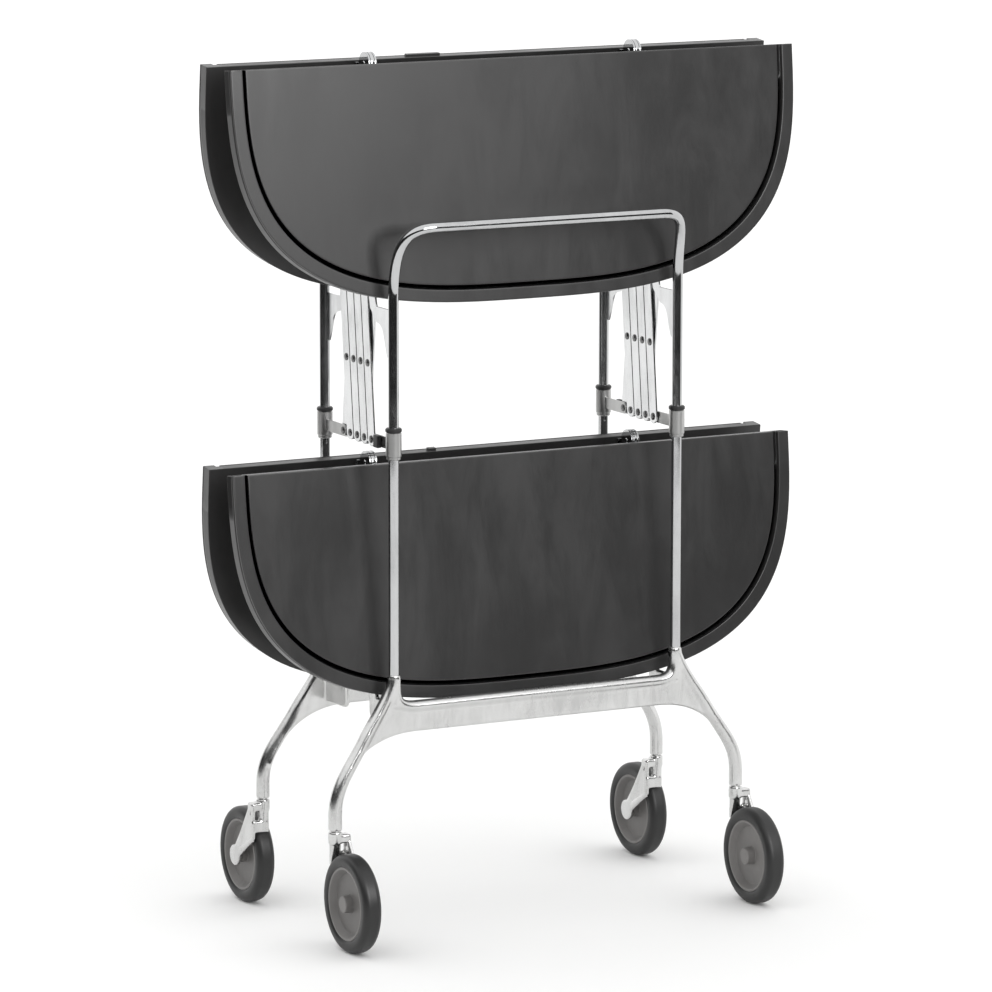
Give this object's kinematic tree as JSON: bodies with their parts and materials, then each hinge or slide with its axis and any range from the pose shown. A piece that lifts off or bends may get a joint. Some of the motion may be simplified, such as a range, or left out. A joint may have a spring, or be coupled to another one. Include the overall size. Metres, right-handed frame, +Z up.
{
  "type": "folding serving trolley",
  "caption": "Folding two-tier serving trolley, folded: hinged tray leaves between two chromed end frames, lazy tongs, swivel casters.",
  "frame": {"origin": "on the floor under the middle of the folded trolley", "axes": "+Z up, +X to the right along the ridge of the trays, +Y from the front end frame to the back one"},
  "size_m": [0.64, 0.348, 0.8915],
  "materials": {
    "chrome": "bright chrome plate",
    "cast_aluminium": "hand-polished casting",
    "polished_steel": "polished strip",
    "black_board": "black satin laminate over board",
    "black_plastic": "satin",
    "grey_plastic": "moulded, satin",
    "grey_rubber": "smooth"
  },
  "bodies": {
    "front_frame": {"front_base_casting": "cast_aluminium", "front_handle_tube": "chrome", "front_left_bracket": "polished_steel", "front_right_bracket": "polished_steel"},
    "front_collars": {"front_left_collar": "polished_steel", "front_right_collar": "polished_steel", "front_left_collar_ring": "black_plastic", "front_right_collar_ring": "black_plastic", "front_catch_block": "black_plastic"},
    "upper_front_tray": {"upper_front_leaf": "black_board", "upper_left_hinge_fork": "chrome", "upper_right_hinge_fork": "chrome"},
    "lower_front_tray": {"lower_front_leaf": "black_board", "lower_left_hinge_fork": "chrome", "lower_right_hinge_fork": "chrome"},
    "front_left_caster": {"front_left_caster_fork": "cast_aluminium"},
    "front_left_roller": {"front_left_wheel": "grey_plastic", "front_left_tyre": "grey_rubber"},
    "front_right_caster": {"front_right_caster_fork": "cast_aluminium"},
    "front_right_roller": {"front_right_wheel": "grey_plastic", "front_right_tyre": "grey_rubber"},
    "back_frame": {"back_base_casting": "cast_aluminium", "back_handle_tube": "chrome", "back_left_bracket": "polished_steel", "back_right_bracket": "polished_steel"},
    "back_collars": {"back_left_collar": "polished_steel", "back_right_collar": "polished_steel", "back_left_collar_ring": "black_plastic", "back_right_collar_ring": "black_plastic", "back_catch_block": "black_plastic"},
    "upper_back_tray": {"upper_back_leaf": "black_board", "upper_left_hinge_tongue": "chrome", "upper_right_hinge_tongue": "chrome"},
    "lower_back_tray": {"lower_back_leaf": "black_board", "lower_left_hinge_tongue": "chrome", "lower_right_hinge_tongue": "chrome"},
    "back_left_caster": {"back_left_caster_fork": "cast_aluminium"},
    "back_left_roller": {"back_left_wheel": "grey_plastic", "back_left_tyre": "grey_rubber"},
    "back_right_caster": {"back_right_caster_fork": "cast_aluminium"},
    "back_right_roller": {"back_right_wheel": "grey_plastic", "back_right_tyre": "grey_rubber"},
    "falling_bars_1": {"left_falling_bar_1": "polished_steel", "right_falling_bar_1": "polished_steel"},
    "rising_bars_1": {"left_rising_bar_1": "polished_steel", "right_rising_bar_1": "polished_steel"},
    "falling_bars_2": {"left_falling_bar_2": "polished_steel", "right_falling_bar_2": "polished_steel"},
    "rising_bars_2": {"left_rising_bar_2": "polished_steel", "right_rising_bar_2": "polished_steel"},
    "falling_bars_3": {"left_falling_bar_3": "polished_steel", "right_falling_bar_3": "polished_steel"},
    "rising_bars_3": {"left_rising_bar_3": "polished_steel", "right_rising_bar_3": "polished_steel"},
    "falling_bars_4": {"left_falling_bar_4": "polished_steel", "right_falling_bar_4": "polished_steel"},
    "rising_bars_4": {"left_rising_bar_4": "polished_steel", "right_rising_bar_4": "polished_steel"}
  },
  "joints": [
    {"name": "fold", "type": "hinge", "parent": "front_frame", "child": "upper_front_tray", "pos_m": [0, -0.03217, 0.657], "axis": [-1, 0, 0], "range_deg": [0, 84]},
    {"name": "upper_ridge", "type": "hinge", "parent": "upper_front_tray", "child": "upper_back_tray", "pos_m": [0, 0, 0.87986], "axis": [1, 0, 0], "range_deg": [0, 168]},
    {"name": "upper_back_pivot", "type": "hinge", "parent": "upper_back_tray", "child": "back_frame", "pos_m": [0, 0.03217, 0.657], "axis": [-1, 0, 0], "range_deg": [0, 84]},
    {"name": "lower_front_pivot", "type": "hinge", "parent": "front_frame", "child": "lower_front_tray", "pos_m": [0, -0.03217, 0.2515], "axis": [-1, 0, 0], "range_deg": [0, 84]},
    {"name": "lower_back_pivot", "type": "hinge", "parent": "back_frame", "child": "lower_back_tray", "pos_m": [0, 0.03217, 0.2515], "axis": [1, 0, 0], "range_deg": [0, 84]},
    {"name": "front_first_bar", "type": "hinge", "parent": "front_frame", "child": "falling_bars_1", "pos_m": [0, -0.03217, 0.657], "axis": [1, 0, 0], "range_deg": [0, 40.81]},
    {"name": "cross_1", "type": "hinge", "parent": "falling_bars_1", "child": "rising_bars_1", "pos_m": [0, -0.02413, 0.58025], "axis": [-1, 0, 0], "range_deg": [0, 81.63]},
    {"name": "front_top_rivet", "type": "hinge", "parent": "rising_bars_1", "child": "falling_bars_2", "pos_m": [0, -0.01609, 0.657], "axis": [1, 0, 0], "range_deg": [0, 81.63]},
    {"name": "cross_2", "type": "hinge", "parent": "falling_bars_2", "child": "rising_bars_2", "pos_m": [0, -0.00804, 0.58025], "axis": [-1, 0, 0], "range_deg": [0, 81.63]},
    {"name": "back_first_bar", "type": "hinge", "parent": "back_frame", "child": "rising_bars_4", "pos_m": [0, 0.03217, 0.657], "axis": [-1, 0, 0], "range_deg": [0, 40.81]},
    {"name": "cross_4", "type": "hinge", "parent": "rising_bars_4", "child": "falling_bars_4", "pos_m": [0, 0.02413, 0.58025], "axis": [1, 0, 0], "range_deg": [0, 81.63]},
    {"name": "back_top_rivet", "type": "hinge", "parent": "falling_bars_4", "child": "rising_bars_3", "pos_m": [0, 0.01609, 0.657], "axis": [-1, 0, 0], "range_deg": [0, 81.63]},
    {"name": "cross_3", "type": "hinge", "parent": "rising_bars_3", "child": "falling_bars_3", "pos_m": [0, 0.00804, 0.58025], "axis": [1, 0, 0], "range_deg": [0, 81.63]},
    {"name": "front_collars_slide", "type": "slide", "parent": "front_frame", "child": "front_collars", "axis": [0, 0, 1], "range_m": [0, 0.04785]},
    {"name": "back_collars_slide", "type": "slide", "parent": "back_frame", "child": "back_collars", "axis": [0, 0, 1], "range_m": [0, 0.04785]},
    {"name": "front_left_swivel", "type": "hinge", "parent": "front_frame", "child": "front_left_caster", "pos_m": [-0.232, -0.08497, 0.117], "axis": [0, 0, 1], "continuous": true},
    {"name": "front_left_spin", "type": "hinge", "parent": "front_left_caster", "child": "front_left_roller", "pos_m": [-0.232, -0.12397, 0.05], "axis": [1, 0, 0], "continuous": true},
    {"name": "front_right_swivel", "type": "hinge", "parent": "front_frame", "child": "front_right_caster", "pos_m": [0.232, -0.08497, 0.117], "axis": [0, 0, 1], "continuous": true},
    {"name": "front_right_spin", "type": "hinge", "parent": "front_right_caster", "child": "front_right_roller", "pos_m": [0.232, -0.12397, 0.05], "axis": [1, 0, 0], "continuous": true},
    {"name": "back_left_swivel", "type": "hinge", "parent": "back_frame", "child": "back_left_caster", "pos_m": [-0.232, 0.08497, 0.117], "axis": [0, 0, 1], "continuous": true},
    {"name": "back_left_spin", "type": "hinge", "parent": "back_left_caster", "child": "back_left_roller", "pos_m": [-0.232, 0.12397, 0.05], "axis": [1, 0, 0], "continuous": true},
    {"name": "back_right_swivel", "type": "hinge", "parent": "back_frame", "child": "back_right_caster", "pos_m": [0.232, 0.08497, 0.117], "axis": [0, 0, 1], "continuous": true},
    {"name": "back_right_spin", "type": "hinge", "parent": "back_right_caster", "child": "back_right_roller", "pos_m": [0.232, 0.12397, 0.05], "axis": [1, 0, 0], "continuous": true}
  ],
  "couplings": [
    {"joint": "upper_ridge", "follows": "fold", "ratio": 2},
    {"joint": "upper_back_pivot", "follows": "fold", "ratio": 1},
    {"joint": "lower_front_pivot", "follows": "fold", "ratio": 1},
    {"joint": "lower_back_pivot", "follows": "fold", "ratio": 1},
    {"joint": "front_first_bar", "follows": "fold", "ratio": 0.48586},
    {"joint": "cross_1", "follows": "fold", "ratio": 0.97173},
    {"joint": "front_top_rivet", "follows": "fold", "ratio": 0.97173},
    {"joint": "cross_2", "follows": "fold", "ratio": 0.97173},
    {"joint": "back_first_bar", "follows": "fold", "ratio": 0.48586},
    {"joint": "cross_4", "follows": "fold", "ratio": 0.97173},
    {"joint": "back_top_rivet", "follows": "fold", "ratio": 0.97173},
    {"joint": "cross_3", "follows": "fold", "ratio": 0.97173},
    {"joint": "front_collars_slide", "follows": "fold", "m_per_rad": 0.032629},
    {"joint": "back_collars_slide", "follows": "fold", "m_per_rad": 0.032629}
  ]
}
